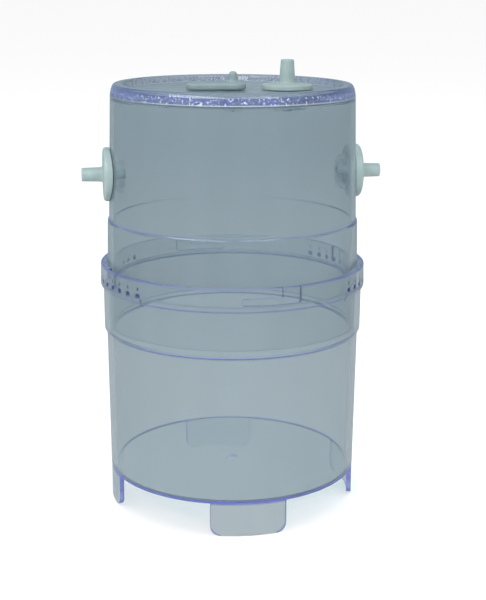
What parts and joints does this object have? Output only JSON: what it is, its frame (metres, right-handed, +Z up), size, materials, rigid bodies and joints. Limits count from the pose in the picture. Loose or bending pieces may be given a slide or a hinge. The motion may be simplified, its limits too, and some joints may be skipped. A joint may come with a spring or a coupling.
{
  "type": "canister filter",
  "caption": "Clear two-part canister filter body with a bayonet twist closure, tab feet, push-on hose nipples and a small vent fitting.",
  "frame": {"origin": "on the floor, on the canister's axis, in the plane of the feet", "axes": "+Z up the canister's axis, +X towards the right-hand hose nipple and the top nipple, -Y towards the front foot"},
  "size_m": [0.133, 0.1182, 0.1982],
  "materials": {
    "clear_plastic": "gloss",
    "milky_plastic": "satin",
    "silicone": "satin"
  },
  "bodies": {
    "vessel": {"lower_vessel": "clear_plastic", "body_seal": "silicone"},
    "casing": {"upper_casing": "clear_plastic", "hose_nipple_left": "milky_plastic", "hose_nipple_right": "milky_plastic", "hose_nipple_top": "milky_plastic", "nipple_seal_left": "silicone", "nipple_seal_right": "silicone", "nipple_seal_top": "silicone", "nipple_nut_left": "milky_plastic", "nipple_nut_right": "milky_plastic", "nipple_nut_top": "milky_plastic", "vent_fitting": "milky_plastic", "vent_seal": "silicone", "vent_nut": "milky_plastic"}
  },
  "joints": [
    {"name": "bayonet_twist", "type": "hinge", "parent": "vessel", "child": "casing", "pos_m": [0, 0, 0.1038], "axis": [0, 0, 1], "range_deg": [0, 17.7]}
  ]
}
